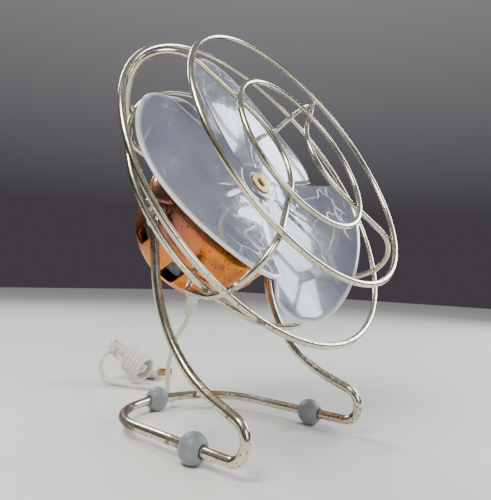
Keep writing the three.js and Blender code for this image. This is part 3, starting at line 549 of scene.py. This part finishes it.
# The bundle: three layers of folded runs, with the last length wound round them.
FOLD_R = 5.6
FOLD_BACK = 54
FOLD_FRONT = 9
FOLD_STEPS = 8
RUN_BACKS = (18, 30, 42)
LAYERS = (0.0, 5.2, -5.2)
WINDING_R = 13.6
WINDING_TURNS = 5
WINDING_PITCH = 5.3
WINDING_STEPS = 20
WINDING_BACK = 28
WINDING_FRONT = 2.8


def fold(back, bulge, up, following):
    """Half a turn between two runs, which also climbs from one layer to the next."""
    points = []
    for k in range(FOLD_STEPS + 1):
        angle = math.pi * k / FOLD_STEPS
        points.append(in_hank(
            back + bulge * math.sin(angle),
            -bulge * math.cos(angle),
            up + (following - up) * k / FOLD_STEPS,
        ))
    return points


def hank_route():
    """The bundle's line as (point, direction of the cord's wide side)."""
    folded = [in_hank(47, -8), in_hank(49, -6)]
    folded += fold(FOLD_BACK, FOLD_R, LAYERS[0], LAYERS[0])
    for up, following in zip(LAYERS, LAYERS[1:]):
        folded += [in_hank(back, FOLD_R, up) for back in reversed(RUN_BACKS)]
        folded += fold(FOLD_FRONT, -FOLD_R, up, following)
        folded += [in_hank(back, -FOLD_R, following) for back in RUN_BACKS]
        folded += fold(FOLD_BACK, FOLD_R, following, following)
    lowest = LAYERS[-1]
    folded += [in_hank(42, FOLD_R + 1, lowest), in_hank(35, FOLD_R + 4, lowest - 2)]

    wound = []
    start = math.atan2(lowest - 4, FOLD_R + 6)
    steps = WINDING_TURNS * WINDING_STEPS + 5
    for k in range(steps):
        angle = start + TURN * k / WINDING_STEPS
        back = max(WINDING_BACK - WINDING_PITCH * k / WINDING_STEPS, WINDING_FRONT)
        wound.append(in_hank(back, WINDING_R * math.cos(angle), WINDING_R * math.sin(angle)))
    leaving = start + TURN * (steps - 1) / WINDING_STEPS + 0.5
    wound.append(in_hank(9, 14.2 * math.cos(leaving), 14.2 * math.sin(leaving)))
    beside = [in_hank(24, 15.5, 1), in_hank(36, 13.5, 1)]

    return (
        [(point, HANK_UP) for point in folded]
        + [(point, HANK_BACK) for point in wound]
        + [(point, HANK_UP) for point in beside]
    )


def even(path_points, hints, spacing):
    """The same line with evenly spaced points, and a hint at each."""
    lengths = [0.0]
    for before, after in zip(path_points, path_points[1:]):
        lengths.append(lengths[-1] + (after - before).length)
    count = round(lengths[-1] / spacing)
    result = []
    turned_hints = []
    index = 0
    for k in range(count + 1):
        at = lengths[-1] * k / count
        while index < len(lengths) - 2 and lengths[index + 1] < at:
            index += 1
        share = (at - lengths[index]) / (lengths[index + 1] - lengths[index])
        result.append(path_points[index].lerp(path_points[index + 1], share))
        turned_hints.append(hints[index].lerp(hints[index + 1], share))
    return result, turned_hints, lengths[-1]


def smoothed(values, reach):
    """Each vector averaged with its neighbours on both sides."""
    result = []
    for i in range(len(values)):
        window = values[max(0, i - reach):i + reach + 1]
        result.append(sum(window, Vector()) / len(window))
    return result


def flat_cord_section(centre, side, other):
    """Two moulded-together wires: round lobes with a shallow waist between them."""
    half = CORD_WIDTH / 2 - CORD_LOBE
    ring = []
    for sign in (1, -1):
        for k in range(7):
            angle = math.radians(-90 + 30 * k)
            wide = sign * (half + CORD_LOBE * math.cos(angle))
            ring.append(centre + side * wide + other * (sign * CORD_LOBE * math.sin(angle)))
        ring.append(centre + other * (sign * CORD_WAIST))
    return ring


def build_lead():
    """The lead's tube; its wide side turns slowly towards the hint at each point of the route."""
    lead = lead_route()
    hank = hank_route()
    tail = tail_route()
    controls = lead + [point for point, _ in hank] + tail
    hints = [HANK_UP] * len(lead) + [hint for _, hint in hank] + [HANK_UP] * len(tail)
    for i in range(FLAT_ACROSS):
        hints[i] = ACROSS
    curve = catmull(controls, CURVE_STEPS)
    spread = [hints[min(i // CURVE_STEPS, len(hints) - 1)] for i in range(len(curve))]
    line, line_hints, length = even(curve, smoothed(spread, 5), 2.2 * MM)
    sections = []
    side = line_hints[0]
    for centre, tangent, hint in zip(line, tangents(line), line_hints):
        wanted = hint - tangent * hint.dot(tangent)
        if wanted.length < 0.2:
            wanted = side - tangent * side.dot(tangent)
        wanted.normalize()
        if wanted.dot(side) < 0:
            wanted = -wanted
        side = side * 0.5 + wanted * 0.5
        side = (side - tangent * side.dot(tangent)).normalized()
        sections.append(flat_cord_section(centre, side, tangent.cross(side)))
    mesh = mesh_from("two_core_lead", *sweep(line, sections))
    made = piece("two_core_lead", mesh, "stand", "ivory_vinyl", "power_cord", "cord_hank", "cord_tail")
    return made, line, length


def build_plug():
    """A moulded two-blade plug: rounded sections lofted along it, with grip ribs and a neck."""
    across = PLUG_FORWARD.cross(WORLD_UP)
    end = [(0.0, 3.6, 3.4), (1.2, 4.6, 4.2)]
    neck = [(5, 5.4, 4.8), (6, 4.9, 4.4), (7, 5.6, 5.0), (8, 5.1, 4.6)]
    flare = [(9, 6.2, 5.4), (13, 9.0, 6.6), (17, 11.0, 7.2)]
    ribs = [(18, 10.4, 6.8), (19, 11.2, 7.3), (20, 10.6, 6.9), (21, 11.4, 7.4)]
    face = [(25, 11.5, 7.4), (25.8, 11.1, 7.0), (26.0, 10.2, 6.3)]
    stations = end + neck + flare + ribs + face
    sides = 32
    path = []
    sections = []
    for along, wide, high in stations:
        centre = PLUG_REAR + PLUG_FORWARD * (along * MM)
        ring = []
        for k in range(sides):
            c = math.cos(TURN * k / sides)
            s = math.sin(TURN * k / sides)
            x = math.copysign(abs(c) ** 0.6, c) * wide
            z = math.copysign(abs(s) ** 0.6, s) * high
            ring.append(centre + (across * x + WORLD_UP * z) * MM)
        path.append(centre)
        sections.append(ring)
    mesh = mesh_from("moulded_plug", *sweep(path, sections))
    return piece("moulded_plug", mesh, "stand", "ivory_vinyl", "plug_body")


lead_piece, lead_line, lead_length = build_lead()
plug_piece = build_plug()

# ------------------------------------------------------------------ stand

LEG_LEAN_ANGLE = math.radians(5)
LEG_LEAN = math.tan(LEG_LEAN_ANGLE)
LEG_FORWARD = 2.7
KNEE_Z = 67.0
PIVOT_Z = 184.0
LEG_LINE_Y = PIVOT_Y - LEG_FORWARD
EYE_X = 77.5
KNEE_X = 71.0
FRONT_X = 78.5
CORNER_X = 71.0
CORNER_Y = 86.0
FRONT_BALL_Y = -22.0
FLOOR_ROD_Z = 10.6
SHIN_SLOPE = math.radians(19)
KNEE_BEND = 108 * MM
HOOK_BEND = 13.5 * MM
BASE_BEND = 60 * MM
BASE_APEX_Y = 107
EYE_HOLE_R = 2.8
EYE_HALF_WIDTH = 8
EYE_HALF_LENGTH = 13
EYE_DROP = 4
FLATTENED = (1.8 * MM, 6.0 * MM)
FLATTENED_LENGTH = 22 * MM
KNEE_Y = LEG_LINE_Y - (PIVOT_Z - KNEE_Z) * LEG_LEAN
FRONT_Y = KNEE_Y - (KNEE_Z - FLOOR_ROD_Z) / math.tan(SHIN_SLOPE)


def floor_run_x(y):
    """How far out the rod on the floor lies at y; it runs in a little towards the back."""
    share = (y - FRONT_Y) / (CORNER_Y - FRONT_Y)
    return FRONT_X + (CORNER_X - FRONT_X) * share


def eye_lug(side):
    """The flattened end of the leg: an oval lug with a hole, its edges rounded."""
    sides = 48
    half_profile = [(0.0, -1.8), (0.75, -1.8), (0.95, -1.4), (1.0, -0.6)]
    profile = half_profile + [(share, -off) for share, off in reversed(half_profile)]
    tilt = Matrix.Rotation(-LEG_LEAN_ANGLE, 3, "X")
    points = []
    for k in range(sides):
        c = math.cos(TURN * k / sides)
        s = math.sin(TURN * k / sides)
        for share, off in profile:
            y = s * (EYE_HOLE_R + (EYE_HALF_WIDTH - EYE_HOLE_R) * share)
            z = c * (EYE_HOLE_R + (EYE_HALF_LENGTH - EYE_HOLE_R) * share) - EYE_DROP * share
            point = tilt @ Vector((0, y, z))
            points.append(design_mm(side * (EYE_X + off), PIVOT_Y + point.y, PIVOT_Z + point.z))
    return points, ring_faces(sides, len(profile), outward=side > 0)


def joined(name, *parts):
    """One mesh of several (points, faces)."""
    points = []
    faces = []
    for part_points, part_faces in parts:
        base = len(points)
        points.extend(part_points)
        faces.extend(tuple(base + index for index in face) for face in part_faces)
    return mesh_from(name, points, faces)


def marked(mesh, name, values):
    """A number at each vertex, for the material to read."""
    layer = mesh.attributes.new(name, "FLOAT", "POINT")
    layer.data.foreach_set("value", values)


def build_leg(side, name, node):
    """A leg from its lug down the back, forwards along the shin and round the hook to the floor."""
    top = 10.0
    corners = [
        (design_mm(side * EYE_X, LEG_LINE_Y - top * LEG_LEAN, PIVOT_Z - top), 0),
        (design_mm(side * KNEE_X, KNEE_Y, KNEE_Z), KNEE_BEND),
        (design_mm(side * FRONT_X, FRONT_Y, FLOOR_ROD_Z), HOOK_BEND),
        (design_mm(side * floor_run_x(FRONT_BALL_Y), FRONT_BALL_Y, FLOOR_ROD_Z), 0),
    ]
    path = bent_path(corners, longest=3 * MM)

    def radius_at(index):
        drop = (path[0] - path[index]).length / FLATTENED_LENGTH
        share = min(1.0, drop) ** 0.7
        return tuple(start + (ROD_R - start) * share for start in FLATTENED)

    sections = round_sections(path, carried(path, ACROSS), radius_at, 20)
    return piece(name, joined(name, sweep(path, sections), eye_lug(side)), "stand", "chrome_wire", node)


def build_bow():
    """The rod on the floor that joins the legs behind, through the rear ball."""
    start = FRONT_BALL_Y + 0.3
    corners = [
        (design_mm(-floor_run_x(start), start, FLOOR_ROD_Z), 0),
        (design_mm(-CORNER_X, CORNER_Y, FLOOR_ROD_Z), BASE_BEND),
        (design_mm(0, BASE_APEX_Y, FLOOR_ROD_Z), BASE_BEND),
        (design_mm(CORNER_X, CORNER_Y, FLOOR_ROD_Z), BASE_BEND),
        (design_mm(floor_run_x(start), start, FLOOR_ROD_Z), 0),
    ]
    path = bent_path(corners, longest=4 * MM)
    sections = round_sections(path, carried(path, WORLD_UP), lambda i: (ROD_R, ROD_R), 20)
    mesh = mesh_from("bent_base_bow", *sweep(path, sections))
    return piece("bent_base_bow", mesh, "stand", "chrome_wire", "base_bow")


def build_ball(name, node, centre, along):
    """A ball threaded on the rod: its bore is rounded at both ends and it sits on a small flat."""
    bore = ROD_R + BORE_CLEARANCE
    lip = 0.9 * MM
    lip_depth = 1.4 * lip
    top = math.acos((bore + lip) / BALL_R)
    half = BALL_R * math.sin(top)
    profile = [(bore, half - lip_depth)]
    for turn in (math.radians(30), math.radians(60)):
        profile.append((
            bore + lip - lip * math.cos(turn),
            half - lip_depth + lip_depth * math.sin(turn),
        ))
    steps = 28
    profile += [
        (BALL_R * math.cos(top - 2 * top * k / steps), BALL_R * math.sin(top - 2 * top * k / steps))
        for k in range(steps + 1)
    ]
    profile += [(r, -z) for r, z in reversed(profile[:3])]
    rotation = WORLD_UP.rotation_difference(along).to_matrix().to_4x4()
    points, faces = revolved(profile, 56, Matrix.Translation(centre) @ rotation)
    for point in points:
        point.z = max(point.z, 0.0)
    return piece(name, mesh_from(name, points, faces), "stand", "grey_rubber", node)


build_leg(-1, "bent_left_leg", "left_leg")
build_leg(1, "bent_right_leg", "right_leg")
build_bow()
for word, side in (("left", -1), ("right", 1)):
    spot = design_mm(side * floor_run_x(FRONT_BALL_Y), FRONT_BALL_Y, FLOOR_ROD_Z)
    ahead = design_mm(side * floor_run_x(FRONT_BALL_Y + 1), FRONT_BALL_Y + 1, FLOOR_ROD_Z) - spot
    build_ball(f"threaded_{word}_ball", f"{word}_ball_foot", spot, ahead.normalized())
low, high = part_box("rear_ball_foot")
rear_spot = Vector((0, (low[1] + high[1]) / 2, FLOOR_ROD_Z * MM))
build_ball("threaded_rear_ball", "rear_ball_foot", rear_spot, ACROSS)

# ------------------------------------------------------------------ guard

# Each ring is (radius, place along the shaft from the pivot), in mm.
OUTER_RING = (152.5, 68.0)
FRONT_RING = (124.3, 112.5)
SMALL_RING = (74.5, 112.5)
REAR_RING = (123.4, 34.0)
ARM_FRONT_Z = 107.4
ARM_SIDE_R = 147.4
ARM_ANGLES = (math.radians(145.5), math.radians(227.5))
RIGHT_TURN = math.radians(178)
ARM_FRONT_BEND = 36 * MM
ARM_SIDE_Z = 54
ARM_SIDE_BEND = 60 * MM
ARM_BACK_R = 106
ARM_BACK_BEND = 10 * MM
ARM_END_R = 71
NOSE_BEND = 53 * MM
SOCKET_Z = 6.0
WIRE_SIDES = 16
WELD_R = 2.1 * MM
WELDS = ((74.5, 110.0), (124.3, 110.0), (149.9, 68.0), (127.4, 36.0))
WELD_RUST = 0.12


def build_ring(name, node, radius, along):
    """A ring of wire round the shaft, its radius and place along the shaft in mm."""
    count = 220
    path = [head_mm(radius, TURN * k / count, along) for k in range(count)]
    sections = []
    for k, centre in enumerate(path):
        out = (centre - head_mm(0, 0, along)).normalized()
        turns = [TURN * j / WIRE_SIDES for j in range(WIRE_SIDES)]
        sections.append([
            centre + (out * math.cos(turn) + SHAFT * math.sin(turn)) * WIRE_R for turn in turns
        ])
    mesh = mesh_from(name, *sweep(path, sections, closed=True))
    return piece(name, mesh, "head", "chrome_wire", node)


def arm_corners(angle):
    """The corners of one arm, from the front edge round the side and in to its socket."""
    return [
        (head_mm(ARM_SIDE_R, angle, ARM_FRONT_Z), ARM_FRONT_BEND),
        (head_mm(ARM_SIDE_R, angle, ARM_SIDE_Z), ARM_SIDE_BEND),
        (head_mm(ARM_BACK_R, angle, SOCKET_Z), ARM_BACK_BEND),
        (head_mm(ARM_END_R, angle, SOCKET_Z), 0),
    ]


def weld(centre, axis, size):
    """A small lump of weld between two crossing wires."""
    rotation = WORLD_UP.rotation_difference(axis).to_matrix().to_4x4()
    steps = 10
    profile = [
        (size * math.sin(math.pi * k / steps) + 1e-5, size * 0.8 * math.cos(math.pi * k / steps))
        for k in range(steps + 1)
    ]
    return revolved(profile, 14, Matrix.Translation(centre) @ rotation)


def build_hairpin(name, node, turn):
    """One wire bent into two arms and the nose between them, with its welds to the rings."""
    first, second = [arm_corners(angle + turn) for angle in ARM_ANGLES]
    corners = [*reversed(first), (head_mm(0, 0, ARM_FRONT_Z), NOSE_BEND), *second]
    path = bent_path(corners, longest=3 * MM)
    sections = round_sections(path, carried(path, UP_SLOPE), lambda i: (WIRE_R, WIRE_R), WIRE_SIDES)
    lumps = []
    for angle in ARM_ANGLES:
        across = angle + turn + math.pi / 2
        axis = (HEAD.to_3x3() @ Vector((math.cos(across), math.sin(across), 0))).normalized()
        for radius, along in WELDS:
            lumps.append(weld(head_mm(radius, angle + turn, along), axis, WELD_R))
    arms = sweep(path, sections)
    mesh = joined(name, arms, *lumps)
    plain = len(arms[0])
    marked(mesh, "weld", [0.0] * plain + [WELD_RUST] * (len(mesh.vertices) - plain))
    return piece(name, mesh, "head", "chrome_wire", node)


build_ring("welded_outer_ring", "guard_outer_ring", *OUTER_RING)
build_ring("welded_front_ring", "guard_front_ring", *FRONT_RING)
build_ring("welded_small_ring", "guard_small_ring", *SMALL_RING)
build_ring("welded_rear_ring", "guard_rear_ring", *REAR_RING)
build_hairpin("bent_left_hairpin", "guard_hairpin_left", 0)
build_hairpin("bent_right_hairpin", "guard_hairpin_right", RIGHT_TURN)

# ------------------------------------------------------------------ blades

BLADE_R = 128.0
NOTCH_R = 55.0
ROOT_R = 30.0
BOSS_R = 17.0
BLADE_RISE = 24.0
BLADE_DROP = 6.0
HUB_PLANE = 57.4
BLADE_T = 2.4
FIRST_NOTCH = math.radians(9)
SECTOR = TURN / 3
TWIST_MIDDLE = 0.2
TWIST_REACH = 0.75
NOTCH_BLEND = 0.9
CREASE_SHARE = 0.15
CREASE_REACH = 0.12
EDGE_BAND = 0.9
EDGE_BULGE = 0.55
HUB_BORE_R = 8.0
HUB_BACK = HUB_PLANE - 13
HUB_FRONT = HUB_PLANE + 3


def smoothstep(value, low_end, high_end):
    share = min(1.0, max(0.0, (value - low_end) / (high_end - low_end)))
    return share * share * (3 - 2 * share)


def blade_share(angle):
    """Place across a blade: 0 on its midline, -1 and 1 in the notches beside it."""
    turns = angle / SECTOR
    return 2 * (turns - math.floor(turns)) - 1


def blade_edge(angle):
    """Outline of the three lobes, in mm from the shaft."""
    share = abs(blade_share(angle))
    return NOTCH_R + (BLADE_R - NOTCH_R) * max(0.0, 1 - share ** 9) ** 0.42


def bump_at(value, middle, reach):
    """A smooth hump, 1 high, round the middle."""
    return math.exp(-(((value - middle) / reach) ** 2))


def blade_lift(radius, angle):
    """How far the middle of the blade's thickness stands in front of the hub plane, in mm."""
    share = blade_share(angle)
    reach = max(0.0, radius - ROOT_R) / (BLADE_R - ROOT_R)
    middle = (BLADE_RISE - BLADE_DROP) / 2
    swing = (BLADE_RISE + BLADE_DROP) / 2
    place = min(1.0, max(-1.0, (share - TWIST_MIDDLE) / TWIST_REACH))
    blend = smoothstep(abs(share), NOTCH_BLEND, 1.0)
    lift = reach ** 1.4 * (middle + swing * math.sin(place * math.pi / 2) * (1 - blend))
    ridge = 1.5 * bump_at(radius, 27, 1.8)
    collar = 2.0 * bump_at(radius, 19, 2.2)
    beside_crease = abs(share - CREASE_SHARE) / CREASE_REACH
    crease = 0.0
    if beside_crease < 1:
        crease = 0.8 * bump_at(radius, 40, 14) * math.cos(math.pi * beside_crease)
    return lift + ridge + collar + crease


def build_blades():
    """The three lobes and their hub as one closed skin, with its thin rim marked for the painted rim
    highlight.
    """
    columns = 540
    rows = 26
    nudge = 1e-6
    points = []
    edge = []
    for k in range(columns):
        angle = TURN * k / columns
        reach = blade_edge(angle + nudge)
        ring = []
        for i in range(rows + 1):
            radius = BOSS_R + (reach - BOSS_R) * i / rows
            lift = HUB_PLANE + blade_lift(radius, angle + nudge)
            ring.append((radius, lift, (reach - radius) < EDGE_BAND))
        last_r, last_lift, _ = ring[-1]
        rim_r = last_r + EDGE_BULGE
        back_hub = [(HUB_BORE_R, HUB_BACK), (14.5, HUB_BACK), (BOSS_R, HUB_PLANE - 3.0)]
        front_hub = [
            (BOSS_R + 0.3, HUB_PLANE + 1.3), (BOSS_R - 0.6, HUB_PLANE + 2.6),
            (BOSS_R - 2, HUB_FRONT), (11.2, HUB_FRONT), (HUB_BORE_R, HUB_PLANE + 2.6),
        ]
        loop = [(r, z, False) for r, z in back_hub]
        loop += [(r, z - BLADE_T / 2, e) for r, z, e in ring[1:]]
        loop += [(rim_r, last_lift - 0.6, True), (rim_r, last_lift + 0.6, True)]
        loop += [(r, z + BLADE_T / 2, e) for r, z, e in reversed(ring[1:])]
        loop += [(r, z, False) for r, z in front_hub]
        for radius, along, is_edge in loop:
            points.append(head_mm(radius, angle + FIRST_NOTCH, along))
            edge.append(1.0 if is_edge else 0.0)
    faces = ring_faces(columns, len(points) // columns)
    mesh = mesh_from("lobed_blades", points, faces)
    marked(mesh, "edge", edge)
    return piece("lobed_blades", mesh, "rotor", "clear_plastic", "fan_blades")


build_blades()

# ------------------------------------------------------------------ smooth-shaded copies, and nodes that stay

SMOOTH_COPIES = [
    "front_shell", "rear_shell", "hub_insert", "cord_grommet",
    *(f"{word}_pivot_{part}" for part in ("spacer", "screw", "washer") for word in ("left", "right")),
    *(f"guard_socket_{number}" for number in range(1, 5)),
]
SHARPEST_SMOOTHED = math.radians(32)

record = frame["record"]
BODY_OF = {node: body for body, nodes in record["behaviour"]["bodies"].items() for node in nodes}
SLOT_OF = {part["node"]: part["material_slot"] for part in record["subparts"]}


def smooth_copy(node):
    """A copy of a faceted CAD node with its round walls shaded smooth and its sharp edges kept."""
    mesh = frame["nodes"][node].data.copy()
    mesh.materials.clear()
    welded = bmesh.new()
    welded.from_mesh(mesh)
    bmesh.ops.remove_doubles(welded, verts=welded.verts, dist=1e-6)
    for line in welded.edges:
        line.smooth = len(line.link_faces) == 2 and line.calc_face_angle(0.0) < SHARPEST_SMOOTHED
    welded.to_mesh(mesh)
    welded.free()
    return piece(f"smooth_{node}", mesh, BODY_OF[node], SLOT_OF[node], node)


for node_name in SMOOTH_COPIES:
    smooth_copy(node_name)

for node_name, shown in frame["nodes"].items():
    shown.data.materials.clear()
    shown.data.materials.append(SLOT_MATERIALS[SLOT_OF[node_name]])

# ------------------------------------------------------------------ stage and light


FLOOR_HALF_WIDTH = 3.0


def build_floor():
    m = Nodes("pale_floor")
    m.link(
        m.ramp(m.noise(3, 3), (0.3, (0.80, 0.78, 0.75)), (0.7, (0.83, 0.81, 0.78))),
        m.shader.inputs["Base Color"],
    )
    m.set(Roughness=0.45)
    far = FLOOR_HALF_WIDTH
    corners = [(-far, -far, 0), (far, -far, 0), (far, far, 0), (-far, far, 0)]
    mesh = mesh_from("floor", corners, [(0, 1, 2, 3)])
    floor = bpy.data.objects.new("floor", mesh)
    floor.data.materials.append(m.material)
    bpy.context.scene.collection.objects.link(floor)


def area_light(name, place, target, size, power, colour=(1, 1, 1)):
    data = bpy.data.lights.new(name, "AREA")
    data.size = size
    data.energy = power
    data.color = colour
    light = bpy.data.objects.new(name, data)
    light.location = place
    light.rotation_euler = (Vector(target) - Vector(place)).to_track_quat("-Z", "Y").to_euler()
    bpy.context.scene.collection.objects.link(light)


build_floor()
area_light("key", (-0.9, -0.1, 1.4), (0, 0, 0.15), 0.6, 24, (1.0, 0.96, 0.9))
area_light("window", (1.35, -0.35, 0.8), (0, 0, 0.18), 0.8, 22, (0.80, 0.91, 1.0))
area_light("fill", (-0.2, -1.5, 0.7), (0, 0, 0.15), 0.7, 10, (1.0, 0.95, 0.88))
area_light("back", (0.3, 1.3, 1.1), (0, 0, 0.2), 0.5, 14)

world = bpy.data.worlds.new("studio")
bpy.context.scene.world = world
world.use_nodes = True
world_tree = world.node_tree
sky = world_tree.nodes["Background"]
sky.inputs["Strength"].default_value = 0.5
direction = world_tree.nodes.new("ShaderNodeTexCoord")
split = world_tree.nodes.new("ShaderNodeSeparateXYZ")
shade = world_tree.nodes.new("ShaderNodeValToRGB")
shade.color_ramp.elements[0].position = 0.12
shade.color_ramp.elements[0].color = (0.115, 0.10, 0.12, 1)
shade.color_ramp.elements[1].position = 0.7
shade.color_ramp.elements[1].color = (0.62, 0.62, 0.64, 1)
world_tree.links.new(direction.outputs["Generated"], split.inputs[0])
world_tree.links.new(split.outputs["Z"], shade.inputs["Fac"])
world_tree.links.new(shade.outputs["Color"], sky.inputs["Color"])
